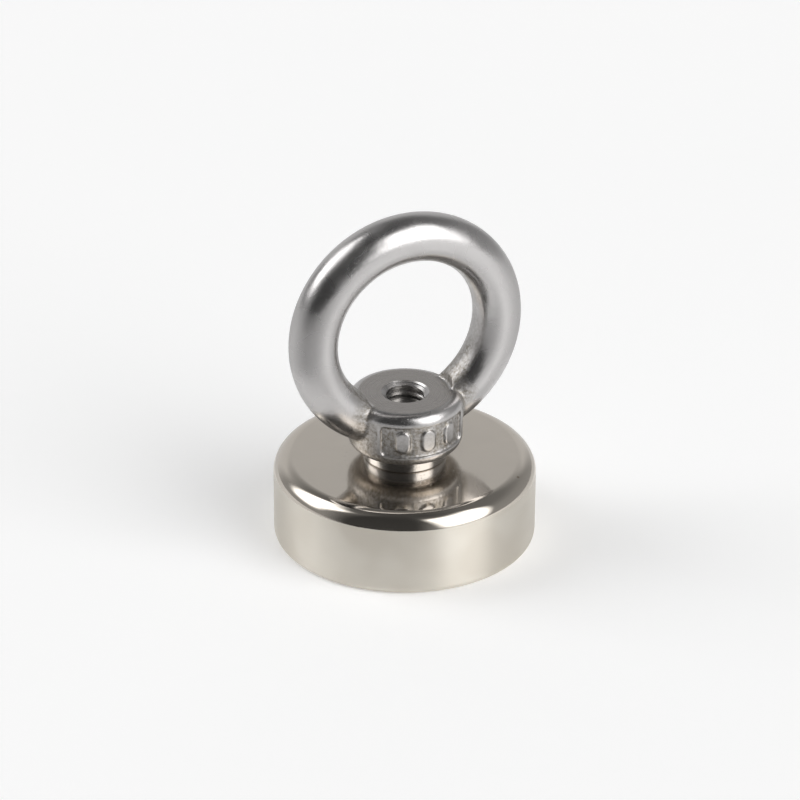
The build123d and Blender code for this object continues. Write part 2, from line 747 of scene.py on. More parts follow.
def draw_lathe_lines(wiring: Wiring, scale: Source) -> Socket:
    """Draws fine lines round the screw's axis, as a lathe or grinder leaves them.

    Args:
        wiring: the group's wiring.
        scale: how many lines there are in a millimetre.

    Returns:
        A value around a half.
    """
    radius, height = wiring.radius_and_height()
    section = wiring.node("CombineXYZ", radius, height, 0.0).outputs[0]
    drift = wiring.vector("MULTIPLY", wiring.millimetres(), (0.012, 0.012, 0.0))
    return wiring.noise(wiring.vector("ADD", section, drift), scale, detail=3.0, rough=0.7)


def draw_grit(wiring: Wiring, scale: Source) -> Socket:
    """Draws the coarse grain of a cast skin.

    Args:
        wiring: the group's wiring.
        scale: how many grains there are in a millimetre.

    Returns:
        A value around a half.
    """
    return wiring.noise(wiring.millimetres(), scale, detail=4.0, rough=0.65)


SPECKLE = Effect("speckle", ("Scale", "Share"), draw_speckle)
SCRATCHES = Effect("scratches", ("Scale", "Width"), draw_scratches)
SWELL = Effect("swell", ("Scale",), draw_swell)
LATHE_LINES = Effect("lathe_lines", ("Scale",), draw_lathe_lines)
GRIT = Effect("grit", ("Scale",), draw_grit)


@dataclass(frozen=True)
class MirrorNickel:
    """Bright nickel on the turned top and shoulder, a little wavy, with pits by the collar."""

    colour: Colour = (0.64, 0.59, 0.525)
    stain_colour: Colour = (0.3, 0.22, 0.15)
    stained: Point = (14.6, 15.6)
    roughness: Point = (0.06, 0.13)
    rubbed_roughness: float = 0.08
    rubbed: Point = (9.5, 6.5)
    pitted: Point = (13.0, 6.0)
    swell_depth: float = 0.004
    peel_depth: float = 0.0012
    pit_depth: float = 0.025

    def material(self) -> bpy.types.Material:
        """Makes the material."""
        made = Surface("mirror_nickel")
        radius, _ = made.radius_and_height()
        stains = made.times(SPECKLE.put(made, scale=0.45, share=0.16), made.step(radius, *self.stained))
        made.give("Base Color", made.mixed(stains, self.colour, self.stain_colour))
        smudges = made.step(SWELL.put(made, scale=0.22), *SWELL_SPAN, *self.roughness)
        rubbed = made.step(radius, *self.rubbed, 0.0, self.rubbed_roughness)
        made.give("Roughness", made.math("ADD", smudges, rubbed))
        pits = made.times(SPECKLE.put(made, scale=2.2, share=0.27), made.step(radius, *self.pitted))
        made.relief(
            (SWELL.put(made, scale=0.3), self.swell_depth),
            (SWELL.put(made, scale=2.4), self.peel_depth),
            (pits, -self.pit_depth),
        )
        return made.material


@dataclass(frozen=True)
class GroundNickel:
    """Nickel over the cup's ground side: lines run round it and smear reflections up and down; its colour,
    lighter than the nickel on the top, is painted light.
    """

    # Lighter than the top's nickel of the same plate: painted light on the side.
    colour: Colour = (0.735, 0.696, 0.624)
    dull_colour: Colour = (0.685, 0.641, 0.567)
    clouded: Point = (0.36, 0.64)
    roughness: Point = (0.34, 0.4)
    anisotropy: float = 0.9
    line_depth: float = 0.0012

    def material(self) -> bpy.types.Material:
        """Makes the material."""
        made = Surface("ground_nickel")
        made.give("Anisotropic", self.anisotropy)
        made.give("Tangent", made.node("CombineXYZ", 0.0, 0.0, 1.0).outputs[0])
        clouds = made.step(SWELL.put(made, scale=0.16), *self.clouded)
        # The lighter colour is painted light; the clouds vary its tone at random.
        made.give("Base Color", made.mixed(clouds, self.colour, self.dull_colour))
        lines = LATHE_LINES.put(made, scale=9.0)
        made.give("Roughness", made.step(lines, *NOISE_SPAN, *self.roughness))
        made.relief((lines, self.line_depth), (GRIT.put(made, scale=1.2), self.line_depth))
        return made.material


@dataclass(frozen=True)
class PressedNickel:
    """Softly bright nickel on the pressed magnet."""

    colour: Colour = (0.6, 0.59, 0.57)
    roughness: Point = (0.24, 0.36)
    grain_depth: float = 0.004

    def material(self) -> bpy.types.Material:
        """Makes the material."""
        made = Surface("pressed_nickel")
        made.give("Base Color", self.colour)
        grain = GRIT.put(made, scale=2.5)
        made.give("Roughness", made.step(grain, 0.35, 0.65, *self.roughness))
        scratches = SCRATCHES.put(made, scale=0.8, width=0.02)
        made.relief((scratches, -self.grain_depth), (grain, self.grain_depth))
        return made.material


@dataclass(frozen=True)
class CastResin:
    """Black epoxy, satin, with a few bubbles."""

    colour: Colour = (0.03, 0.03, 0.035)
    dust_colour: Colour = (0.07, 0.07, 0.072)
    roughness: Point = (0.3, 0.5)
    bubble_depth: float = 0.05

    def material(self) -> bpy.types.Material:
        """Makes the material."""
        made = Surface("cast_resin", metallic=0.0)
        haze = SWELL.put(made, scale=0.8)
        made.give("Base Color", made.mixed(haze, self.colour, self.dust_colour))
        made.give("Roughness", made.step(haze, *NOISE_SPAN, *self.roughness))
        made.relief((SPECKLE.put(made, scale=1.3, share=0.2), -self.bubble_depth))
        return made.material


@dataclass(frozen=True)
class RolledSteel:
    """Plain stainless steel of the screw, turned on the head and rolled on the thread."""

    colour: Colour = (0.5, 0.49, 0.47)
    roughness: Point = (0.22, 0.38)
    line_depth: float = 0.002

    def material(self) -> bpy.types.Material:
        """Makes the material."""
        made = Surface("rolled_steel")
        made.give("Base Color", self.colour)
        lines = LATHE_LINES.put(made, scale=6.0)
        made.give("Roughness", made.step(lines, *NOISE_SPAN, *self.roughness))
        made.relief((lines, self.line_depth))
        return made.material


@dataclass(frozen=True)
class CastStainless:
    """Cast stainless steel: tumbled bright on the eye, rough in the hollows, turned on the boss's top, with
    painted shade on that top and on the boss's left side.
    """

    face_height: float
    face_radius: float
    boss_bottom: float
    colour: Colour = (0.53, 0.517, 0.512)
    # The cast skin's darker colour; on the boss's left side, which gets extra skin, it is also painted
    # shade.
    hollow_and_shade_colour: Colour = (0.25, 0.228, 0.195)
    # Darker than the tumbled steel around it: painted shade on the turned top.
    faced_painted_shade_colour: Colour = (0.41, 0.388, 0.37)
    polished: Point = (0.23, 0.33)
    rough: Point = (0.36, 0.52)
    turned: Point = (0.24, 0.3)
    collar_roughness: float = 0.16
    hollows: Point = (0.7, 0.32)
    scratch_share: float = 0.12
    wave_depth: float = 0.02
    peel_depth: float = 0.009
    grain_depth: float = 0.006
    grit_depth: float = 0.035
    lathe_depth: float = 0.005
    wear_depth: float = 0.014

    def material(self) -> bpy.types.Material:
        """Makes the material, from the tumbled ground up to the wear and the lathe's lines."""
        made = Surface("cast_stainless")
        cast = made.node("Attribute", attribute_name="cast_skin").outputs["Fac"]
        faced, on_collar = self.turned_places(made)
        grit = GRIT.put(made, scale=2.6)
        lines = LATHE_LINES.put(made, scale=5.0)
        polish = made.step(SWELL.put(made, scale=0.25), *SWELL_SPAN, *self.polished)
        skin = made.step(GRIT.put(made, scale=9.0), *NOISE_SPAN, *self.rough)
        turned_face = made.step(lines, *NOISE_SPAN, *self.turned)
        above_collar = made.between(faced, made.between(cast, polish, skin), turned_face)
        made.give("Roughness", made.between(on_collar, above_collar, self.collar_roughness))
        # Darker where the cast skin is rough; the extra skin on the boss's left side makes this a painted
        # shade there.
        dull_and_shade = made.times(cast, made.step(grit, *self.hollows))
        skin_colour = made.mixed(dull_and_shade, self.colour, self.hollow_and_shade_colour)
        # The turned top takes the darker colour, a painted shade.
        made.give("Base Color", made.mixed(faced, skin_colour, self.faced_painted_shade_colour))
        scratches = made.times(SCRATCHES.put(made, scale=0.9, width=0.012), self.scratch_share)
        marks = made.math("MAXIMUM", SPECKLE.put(made, scale=2.4, share=0.26), scratches)
        made.relief(
            (SWELL.put(made, scale=0.45), self.wave_depth),
            (SWELL.put(made, scale=1.6), self.peel_depth),
            (GRIT.put(made, scale=6.0), self.grain_depth),
            (made.times(marks, made.math("SUBTRACT", 1.0, on_collar)), -self.wear_depth),
            (made.times(grit, cast), self.grit_depth),
            (made.times(lines, faced), self.lathe_depth),
        )
        return made.material

    def turned_places(self, wiring: Wiring) -> tuple[Socket, Socket]:
        """Finds the turned places.

        Args:
            wiring: the material's wiring.

        Returns:
            1 on the boss's turned top and 0 elsewhere, and 1 on the collar and 0 elsewhere.
        """
        radius, height = wiring.radius_and_height()
        away = wiring.math("ABSOLUTE", wiring.math("SUBTRACT", height, self.face_height))
        inside = wiring.step(radius, self.face_radius + 0.15, self.face_radius - 0.05)
        on_collar = wiring.step(height, self.boss_bottom + 0.02, self.boss_bottom - 0.02)
        return wiring.times(wiring.step(away, 0.06, 0.01), inside), on_collar


@dataclass(frozen=True)
class PaleFloor:
    """A matt, nearly white floor; outside the picture, and in reflections only, it is darker and glows
    unevenly round about, painted shade and painted light as the bright metal shows them.
    """

    colour: Colour = (0.9, 0.9, 0.9)
    worn_colour: Colour = (0.8865, 0.8865, 0.8865)
    # Painted shade: the floor's colour seen in reflections outside the picture.
    painted_shade_colour: Colour = (0.3, 0.3, 0.3)
    roughness: float = 0.7
    specular: float = 0.1
    glow: float = 0.25
    # Gain and cut of the glow round about, seen only in reflections: painted light.
    lit: float = 1.86
    unlit: float = 0.23
    outside: Point = (38.0, 52.0)
    # How strongly the floor glows at each bearing, seen only in reflections: painted light.
    round_about: tuple[Point, ...] = (
        (0.0, 0.3),
        (0.11, 0.25),
        (0.28, 0.42),
        (0.4, 0.34),
        (0.5, 0.39),
        (0.62, 0.35),
        (0.76, 0.47),
        (0.85, 0.63),
        (0.93, 0.4),
        (1.0, 0.3),
    )

    def material(self) -> bpy.types.Material:
        """Makes the material."""
        made = Surface("pale_floor", metallic=0.0)
        made.give("Specular IOR Level", self.specular)
        made.give("Roughness", self.roughness)
        # Reflections see painted shade and painted light on the floor outside the picture; the camera sees
        # the even floor.
        reflected = made.math("SUBTRACT", 1.0, made.node("LightPath").outputs["Is Camera Ray"])
        radius, _ = made.radius_and_height()
        outside = made.times(reflected, made.step(radius, *self.outside))
        tone = made.noise(made.millimetres(), scale=0.01, detail=2.0)
        colour = made.mixed(tone, self.colour, self.worn_colour)
        made.give("Base Color", made.mixed(outside, colour, self.painted_shade_colour))
        turn = made.math("DIVIDE", made.bearing(made.millimetres()), FULL_TURN)
        share = made.grey_ramp(made.math("ADD", turn, 0.5), self.round_about)
        # Glow by bearing, seen only in reflections: painted light.
        light = made.math("SUBTRACT", made.times(share, self.lit), self.unlit)
        made.give("Emission Color", (1, 1, 1))
        made.give("Emission Strength", made.between(outside, self.glow, light))
        return made.material


@dataclass
class Part:
    """A piece that stands for a CAD node and is as large as that node, in millimetres."""

    node: ClassVar[str]
    radius: float = field(init=False)
    bottom: float = field(init=False)
    top: float = field(init=False)

    def __post_init__(self) -> None:
        """Reads the CAD node's outer radius, its lowest and its highest place."""
        low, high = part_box(self.node)
        self.radius = high.x / MILLIMETRE
        self.bottom = low.z / MILLIMETRE
        self.top = high.z / MILLIMETRE


@dataclass
class Cup(Part):
    """The turned steel cup, open side down."""

    node: ClassVar[str] = "cup"
    wall: float = 3.0
    roof: float = 4.8
    shoulder_height: float = 1.9
    shoulder_round: float = 2.5
    rim_round: float = 0.9
    mouth_chamfer: float = 0.4
    hole_radius: float = 3.3
    seat_radius: float = 6.342
    support: float = 0.06

    def outline(self) -> Profile:
        """Draws the cup's section.

        Returns:
            The closed outline, from the foot of the rim round the outside to the cavity.
        """
        cavity = self.radius - self.wall
        roof = self.top - self.roof
        foot = self.radius - self.rim_round
        sweep = math.degrees(math.acos(1 - self.shoulder_height / self.shoulder_round))
        shoulder = self.radius - self.shoulder_round * math.sin(math.radians(sweep))
        outline = Profile((cavity + self.mouth_chamfer, 0.0), (foot - self.support, 0.0))
        outline.arc((foot, self.rim_round), self.rim_round, -90, 0)
        outline.line((self.radius, self.rim_round + self.support))
        outline.line((self.radius, self.top - self.shoulder_height - self.support))
        outline.arc((shoulder, self.top - self.shoulder_round), self.shoulder_round, 90 - sweep, 90, 18)
        outline.line((shoulder - self.support, self.top), (self.hole_radius, self.top))
        outline.line((self.hole_radius, roof + self.seat_radius - self.hole_radius))
        outline.line((self.seat_radius, roof), (cavity, roof), (cavity, self.mouth_chamfer))
        return outline

    def build(self) -> bpy.types.Object:
        """Makes the cup and gives the ground side its own finish."""
        finishes = (MirrorNickel().material(), GroundNickel().material())
        piece = Solid(turned(self.outline())).finished(self.node, "nickel_plate", 9, *finishes)
        edge = (self.top - self.shoulder_height) * MILLIMETRE
        for face in piece.data.polygons:
            outside = math.hypot(face.center.x, face.center.y) > (self.radius - self.wall / 2) * MILLIMETRE
            if outside and face.center.z < edge:
                face.material_index = 1
        return piece


@dataclass
class MagnetRing(Part):
    """The pressed ring magnet, seated against the cup's roof."""

    node: ClassVar[str] = "magnet_ring"
    bore_radius: float = 7.0
    edge_round: float = 0.35
    edge_facets: int = 5

    def build(self) -> bpy.types.Object:
        """Makes the magnet with its four edges rounded, as tumbling leaves them."""
        inner, outer = self.bore_radius + self.edge_round, self.radius - self.edge_round
        low, high = self.bottom + self.edge_round, self.top - self.edge_round
        centres = ((outer, low), (outer, high), (inner, high), (inner, low))
        outline = Profile()
        for start, centre in zip((-90, 0, 90, 180), centres):
            outline.arc(centre, self.edge_round, start, start + 90, self.edge_facets)
        nickel = PressedNickel().material()
        return Solid(turned(outline)).finished(self.node, "magnet_nickel", 30, nickel)


@dataclass
class ResinSeal(Part):
    """The ring of resin between the magnet and the cup's wall."""

    node: ClassVar[str] = "resin_seal"
    inner_radius: float = 13.02
    creep: float = 0.25

    def build(self) -> bpy.types.Object:
        """Makes the ring, its open face sunk a little between the walls that the resin crept up."""
        half_width = (self.radius - self.inner_radius) / 2
        hollow = (half_width**2 + self.creep**2) / (2 * self.creep)
        half_angle = math.degrees(math.asin(half_width / hollow))
        centre = (self.inner_radius + half_width, self.bottom + self.creep - hollow)
        outline = Profile()
        outline.arc(centre, hollow, 90 + half_angle, 90 - half_angle, 10)
        outline.line((self.radius, self.top), (self.inner_radius, self.top))
        return Solid(turned(outline)).finished(self.node, "seal_resin", 30, CastResin().material())


@dataclass(frozen=True)
class Thread:
    """The metric thread that the screw and the eye nut share."""

    radius: float = 3.0
    pitch: float = 1.0
    start: float = 10.5
    flank: float = math.tan(math.radians(30))
    crest: float = 0.0625
    nut_radius: float = 2.58
    play: float = 0.03
    sunk: float = 0.1

    def helix(self, inner: float, play: float, top: float) -> Solid:
        """Winds a ridge with the thread's flanks.

        Args:
            inner: the radius of the surface that it stands on or cuts into.
            play: how much smaller it is than the thread itself.
            top: the height that it runs past.

        Returns:
            The helical solid, which reaches a little below that surface.
        """
        foot, outer = inner - self.sunk, self.radius - play
        wide = self.crest + (self.radius - foot) * self.flank - play
        section = Profile((foot, -wide), (outer, -self.crest), (outer, self.crest), (foot, wide))
        return Solid(coiled(section, self.pitch, self.start, (top - self.start) / self.pitch + 0.5))

    def groove(self, top: float) -> Solid:
        """Makes what a tap takes out of the nut beyond its plain hole, up to a height."""
        return self.helix(self.nut_radius, 0.0, top)

    def ridge(self, root: float, bottom: float, top: float, tip: float) -> Solid:
        """Makes the screw's ridge, trimmed by the bar that it was rolled on.

        Args:
            root: the radius that the ridge stands on.
            bottom: the height that the thread begins at.
            top: the height of the screw's end.
            tip: the size of the chamfer at that end.

        Returns:
            The helical solid.
        """
        bar = Profile((0, bottom), (root, bottom), (self.radius, bottom + self.radius - root))
        bar.line((self.radius, top - tip), (self.radius - tip, top), (0, top))
        return self.helix(root, self.play, top).joined(Solid(turned(bar, SCREW_STEPS)), Join.COMMON)


@dataclass
class Screw(Part):
    """The flat-head screw, driven up through the cup's roof into the nut."""

    node: ClassVar[str] = "screw"
    thread: Thread = Thread()
    root_radius: float = 2.4
    neck_length: float = 1.0
    head_land: float = 0.3
    head_round: float = 0.12
    tip_chamfer: float = 0.75
    socket_radius: float = 2.309
    socket_depth: float = 2.3

    def build(self) -> bpy.types.Object:
        """Makes the screw with its socket and thread."""
        under_head = self.bottom + self.head_land + self.radius - self.thread.radius
        neck_top = under_head + self.neck_length
        runout = self.thread.radius - self.root_radius
        root_tip = self.tip_chamfer - runout
        rim = self.radius - self.head_round
        outline = Profile((0, self.bottom), (rim, self.bottom))
        outline.arc((rim, self.bottom + self.head_round), self.head_round, -80, 0, 4)
        outline.line((self.radius, self.bottom + self.head_land), (self.thread.radius, under_head))
        outline.line((self.thread.radius, neck_top), (self.root_radius, neck_top + runout))
        outline.line((self.root_radius, self.top - root_tip), (self.root_radius - root_tip, self.top))
        outline.line((0, self.top))
        body = Solid(turned(outline, SCREW_STEPS))
        socket = drum(self.socket_radius, self.bottom - 1, self.bottom + self.socket_depth, 6)
        body.joined(Solid(socket), Join.CUT)
        ridge_top = self.top - self.thread.play
        body.joined(self.thread.ridge(self.root_radius, neck_top, ridge_top, self.tip_chamfer), Join.UNION)
        return body.finished(self.node, "screw_steel", 25, RolledSteel().material())


@dataclass(frozen=True)
class CastSkin:
    """How the casting's skin lies: lengths in millimetres, shares from 0, bright, to 1, rough as cast."""

    relief: float = 0.06
    lumps: float = 0.5
    wander: float = 0.4
    bore: float = 0.15
    root_reach: float = 1.0
    root_wander: float = 0.5
    root_fade: float = 0.8
    panel: float = 0.35
    panel_step: float = 0.12
    panel_gain: float = 3.0
    round_reach: float = 0.4
    round_fade: float = 0.6
    boss: float = 0.5
    # Extra cast skin on the boss's left side: rougher, and darker as painted shade.
    boss_left_roughness_and_shade: float = 0.35
    boss_wander: float = 0.5
    leg_reach: float = 1.9
    leg_wander: float = 1.4
    leg_fade: float = 1.6
    leg_height: float = 2.5
    leg_height_fade: float = 2.0
    band_width: float = 0.7
    band: float = 0.35
    band_wander: float = 0.35
    band_height: float = 6.0
    band_height_wander: float = 3.0
    band_fade: float = 3.0


@dataclass
class EyeNut(Part):
    """The cast eye nut: collar, boss and eye in one."""

    node: ClassVar[str] = "eye_nut"
    thread: Thread = Thread()
    skin: CastSkin = CastSkin()
    collar_radius: float = 5.5
    collar_height: float = 1.75
    collar_round: float = 0.2
    collar_sunk: float = 0.5
    boss_radius: float = 7.65
    boss_height: float = 7.6
    lower_round: float = 1.6
    upper_round: float = 1.45
    wire_radius: float = 3.25
    band_width: float = 3.8
    band_relief: float = 0.15
    dip: float = 0.85
    mouth_chamfer: float = 0.2
    mouth_depth: float = 0.48
    panel_arc: float = 101.0
    panel_below: float = 0.05
    panel_above: float = 0.2
    panel_depth: float = 0.4
    panel_corner: float = 0.9
    panel_edge_angle: float = 0.35
    panel_margin: float = 0.4
    panel_margin_angle: float = 3.0
    pad_count: int = 3
    pad_pitch: float = 27.0
    pad_length: float = 3.4
    pad_width: float = 2.2
    pad_height: float = 0.3
    pad_draft: float = 15.0
    pad_edge_round: float = 0.12
    wall_reach: Point = (-0.3, 0.35)
    wall_height: Point = (0.1, 2.2)
    voxel: float = 0.17
    valley_angle: float = -0.3
    valley_reach: int = 9
    valley_smoothing: tuple[tuple[int, int], ...] = ((4, 5), (2, 4))
    seated_from: int = 3

    @property
    def boss_bottom(self) -> float:
        """The height of the boss's underside."""
        return self.bottom + self.collar_height

    @property
    def boss_top(self) -> float:
        """The height of the boss's faced top."""
        return self.boss_bottom + self.boss_height

    @property
    def face_radius(self) -> float:
        """The radius of the boss's faced top, and of the cutter that faces it."""
        return self.boss_radius - self.upper_round

    @property
    def mean_radius(self) -> float:
        """The radius of the eye's wire line."""
        return self.radius - self.wire_radius

    @property
    def inner_radius(self) -> float:
        """The radius of the eye's clear hole."""
        return self.mean_radius - self.wire_radius + self.band_relief

    @property
    def eye_height(self) -> float:
        """The height of the eye's centre."""
        return self.boss_top - self.dip + self.inner_radius

    @property
    def panel_bottom(self) -> float:
        """The height of the panel's lower edge."""
        return self.boss_bottom + self.lower_round + self.panel_below

    @property
    def panel_top(self) -> float:
        """The height of the panel's upper edge."""
        return self.boss_top - self.upper_round - self.panel_above

    def boss(self) -> Solid:
        """Makes the boss as a turned form."""
        lower = (self.boss_radius - self.lower_round, self.boss_bottom + self.lower_round)
        outline = Profile((0, self.boss_bottom))
        outline.arc(lower, self.lower_round, -90, 0)
        outline.arc((self.face_radius, self.boss_top - self.upper_round), self.upper_round, 0, 90)
        outline.line((0, self.boss_top))
        return Solid(turned(outline, BOSS_STEPS))

    def eye(self) -> Solid:
        """Makes the eye: wire that is round outside and has a flatter band between two creases inside."""
        half = self.band_width / 2
        crease = math.degrees(math.asin(half / self.wire_radius))
        depth = self.mean_radius - self.wire_radius * math.cos(math.radians(crease)) - self.inner_radius
        band_radius = (half**2 + depth**2) / (2 * depth)
        band_angle = math.degrees(math.asin(half / band_radius))
        band_centre = (self.inner_radius + band_radius, 0)
        section = Profile()
        section.arc((self.mean_radius, 0), self.wire_radius, 180 - crease, -180 + crease, 60)
        section.arc(band_centre, band_radius, 180 + band_angle, 180 - band_angle, 10)
        shape = bmesh.new()
        draw_line(shape, [Vector((0, across, self.eye_height + out)) for out, across in section.points])
        spin(shape, FULL_TURN, EYE_STEPS, centre=(0, 0, self.eye_height), axis=(0, 1, 0))
        return Solid(cleaned(shape))

    def panel_cutter(self) -> Solid:
        """Makes the curved block that leaves the recessed panel round the front of the boss."""
        low, high = self.panel_bottom, self.panel_top
        inner, outer = self.boss_radius - self.panel_depth, self.boss_radius + self.panel_depth
        arc = math.radians(self.panel_arc)
        start = math.radians(-90) - arc / 2
        shape = bmesh.new()
        corners = [(inner, low), (outer, low), (outer, high), (inner, high)]
        rim = [shape.verts.new((r * math.cos(start), r * math.sin(start), z)) for r, z in corners]
        shape.faces.new(rim)
        spin(shape, arc, PANEL_STEPS)
        cleaned(shape)
        round_edges(shape, self.panel_corners(shape, (start, start + arc)), self.panel_corner, 6)
        return Solid(cleaned(shape))

    def panel_corners(self, shape: Shape, ends: Point) -> list[bmesh.types.BMEdge]:
        """Finds the four corner edges of the panel's block, which point at the axis.

        Args:
            shape: the block.
            ends: the angles that it begins and ends at, in radians.

        Returns:
            The edges.
        """
        near = 0.01
        found = []
        for edge in shape.edges:
            first, second = (corner.co for corner in edge.verts)
            angle = math.atan2(first.y, first.x)
            at_end = any(abs(math.remainder(angle - end, FULL_TURN)) < near for end in ends)
            across = abs(edge.calc_length() - 2 * self.panel_depth) < near
            if at_end and across and abs(first.z - second.z) < MERGE_DISTANCE:
                found.append(edge)
        return found

    def pads(self) -> list[Solid]:
        """Makes the plain oval pads that stand on the panel's floor."""
        foot = self.boss_radius - 2 * self.panel_depth
        depth = self.panel_depth + self.pad_height
        middle = (self.panel_bottom + self.panel_top) / 2
        stretch = (self.pad_length - self.pad_width) / 2
        made = []
        for number in range(self.pad_count):
            shape = bmesh.new()
            bmesh.ops.create_cone(
                shape,
                cap_ends=True,
                segments=PAD_STEPS,
                radius1=self.pad_width / 2,
                radius2=self.pad_width / 2 - depth * math.tan(math.radians(self.pad_draft)),
                depth=depth,
                matrix=Matrix.Rotation(FULL_TURN / PAD_STEPS / 2, 4, "Z"),
            )
            for side in (-1, 1):
                half = [vertex for vertex in shape.verts if vertex.co.x * side > 0]
                bmesh.ops.translate(shape, verts=half, vec=(side * stretch, 0, 0))
            rim = [edge for edge in shape.edges if min(vertex.co.z for vertex in edge.verts) > 0]
            round_edges(shape, rim, self.pad_edge_round, 3)
            azimuth = self.pad_pitch * (number - (self.pad_count - 1) / 2) - 90
            place = Matrix.Rotation(math.radians(azimuth), 4, "Z")
            place = place @ Matrix.Translation((foot + depth / 2, 0, middle))
            place = place @ Matrix.Rotation(math.radians(90), 4, "Y")
            bmesh.ops.transform(shape, matrix=place, verts=shape.verts)
            made.append(Solid(cleaned(shape)))
        return made

    def blank(self) -> Solid:
        """Makes the exact form of the casting, faced on top, before its roots are softened."""
        made = self.boss().joined(self.eye(), Join.UNION)
        made.joined(Solid(drum(self.face_radius, self.boss_top, self.eye_height, BOSS_STEPS)), Join.CUT)
        made.joined(self.panel_cutter(), Join.CUT)
        for pad in self.pads():
            made.joined(pad, Join.UNION)
        return made

    def casting(self) -> Solid:
        """Makes one skin of the blank, with soft roots and the true surface everywhere else."""
        master = self.blank()
        made = master.copy().remeshed(self.voxel)
        levels: list[int] = []
        made.edited(lambda shape: levels.extend(self.soften_roots(shape)))
        made.seated_on(master, [held((level - self.seated_from) / self.seated_from) for level in levels])
        bpy.data.meshes.remove(master.mesh)
        made.edited(self.soften_panel)
        roughness = [self.cast_skin_at(vertex.co) for vertex in made.mesh.vertices]
        return made.roughened(roughness, self.skin.relief, self.skin.lumps)

    def on_panel(self, place: Vector) -> bool:
        """Says whether a point lies in the panel's part of the boss.

        Args:
            place: the point, in millimetres.

        Returns:
            Whether it does, with a margin all round.
        """
        aside = math.degrees(math.atan2(place.x, -place.y))
        around = abs(aside) < self.panel_arc / 2 + self.panel_margin_angle
        margin = self.panel_margin
        level = self.panel_bottom - margin < place.z < self.panel_top + margin
        return around and level and math.hypot(place.x, place.y) < self.boss_radius + 2 * SLACK

    def on_facing_wall(self, place: Vector) -> bool:
        """Says whether a point lies where the facing cutter ran against the eye's roots."""
        (inside, outside), (low, high) = self.wall_reach, self.wall_height
        beyond = math.hypot(place.x, place.y) - self.face_radius
        return inside < beyond < outside and low < place.z - self.boss_top < high

    def soften_panel(self, shape: Shape) -> None:
        """Rounds the edges of the panel and its pads a little, as a casting has them.

        Args:
            shape: the seated casting.
        """
        sharp = {
            vertex
            for edge in shape.edges
            if edge.is_manifold and edge.calc_face_angle(0) > self.panel_edge_angle
            for vertex in edge.verts
            if self.on_panel(vertex.co)
        }
        smooth(shape, list(sharp), 2)

    def soften_roots(self, shape: Shape) -> list[int]:
        """Smooths the valleys where the eye runs into the boss.

        Args:
            shape: the remeshed casting.

        Returns:
            For each vertex, how many edges it lies from a valley, up to the valleys' reach.
        """
        shape.verts.index_update()
        levels = [self.valley_reach] * len(shape.verts)
        front = []
        for edge in shape.edges:
            walled = self.on_facing_wall(edge.verts[0].co)
            if edge.is_manifold and (walled or edge.calc_face_angle_signed() < self.valley_angle):
                for vertex in edge.verts:
                    if levels[vertex.index] == self.valley_reach and not self.on_panel(vertex.co):
                        levels[vertex.index] = 0
                        front.append(vertex)
        for level in range(1, self.valley_reach):
            beyond = []
            for vertex in front:
                for edge in vertex.link_edges:
                    other = edge.other_vert(vertex)
                    if levels[other.index] == self.valley_reach:
                        levels[other.index] = level
                        beyond.append(other)
            front = beyond
        for reach, times in self.valley_smoothing:
            near = [vertex for vertex in shape.verts if levels[vertex.index] <= reach]
            smooth(shape, near, times)
        return levels

    def bore(self) -> Solid:
        """Makes the tap's form: plain hole, thread groove and chamfered mouths."""
        hole = self.thread.nut_radius
        mouth = self.thread.radius + self.mouth_chamfer
        below, above = self.bottom - 0.5, self.boss_top + 0.5
        outline = Profile((0, below), (mouth, below), (mouth, self.bottom))
        outline.line((hole, self.bottom + self.mouth_depth), (hole, self.boss_top - self.mouth_depth))
        outline.line((mouth, self.boss_top), (mouth, above), (0, above))
        return Solid(turned(outline, SCREW_STEPS)).joined(self.thread.groove(above), Join.UNION)

    def collar(self) -> Solid:
        """Makes the turned collar, sunk a little into the boss to join it."""
        centre = (self.collar_radius - self.collar_round, self.bottom + self.collar_round)
        inside = self.boss_bottom + self.collar_sunk
        outline = Profile((0, self.bottom))
        outline.arc(centre, self.collar_round, -90, 0, 4)
        outline.line((self.collar_radius, inside), (0, inside))
        return Solid(turned(outline, BOSS_STEPS))

    def build(self) -> bpy.types.Object:
        """Makes the casting, joins its collar and taps its bore."""
        made = self.casting()
        made.joined(self.collar(), Join.UNION)
        made.joined(self.bore(), Join.CUT)
        steel = CastStainless(self.boss_top, self.face_radius, self.boss_bottom).material()
        piece = made.finished(self.node, "cast_stainless", 32, steel)
        self.mark_cast_skin(piece.data)
        return piece

    def mark_cast_skin(self, mesh: bpy.types.Mesh) -> None:
        """Writes how rough the cast skin is at each vertex.

        Args:
            mesh: the finished mesh, in metres.
        """
        skin = mesh.attributes.new("cast_skin", "FLOAT", "POINT")
        for vertex in mesh.vertices:
            skin.data[vertex.index].value = self.cast_skin_at(vertex.co / MILLIMETRE)

    def cast_skin_at(self, place: Vector) -> float:
        """Says how rough the skin is at a point.

        Args:
            place: the point, in millimetres.

        Returns:
            From 0, tumbled bright, to 1, rough as cast.
        """
        skin = self.skin
        wander = noise.noise(place * skin.wander)
        out = math.hypot(place.x, place.y)
        if out < self.thread.radius + SLACK and place.z < self.boss_top - SLACK:
            return skin.bore
        faced = out < self.face_radius and abs(place.z - self.boss_top) < 2 * SLACK
        if place.z < self.boss_bottom or faced:
            return 0.0
        if out < self.boss_radius + SLACK and place.z < self.boss_top:
            return self.boss_skin_at(place, wander)
        if self.on_facing_wall(place):
            return 1.0
        near_boss = faded(out, self.boss_radius + skin.leg_reach + skin.leg_wander * wander, skin.leg_fade)
        low = faded(place.z, self.boss_top + skin.leg_height + wander, skin.leg_height_fade)
        band = 0.0
        if math.hypot(place.x, place.z - self.eye_height) < self.inner_radius + skin.band_width:
            band_top = self.boss_top + skin.band_height + skin.band_height_wander * wander
            band = max(faded(place.z, band_top, skin.band_fade), skin.band + skin.band_wander * wander)
        return max(near_boss * low, band)

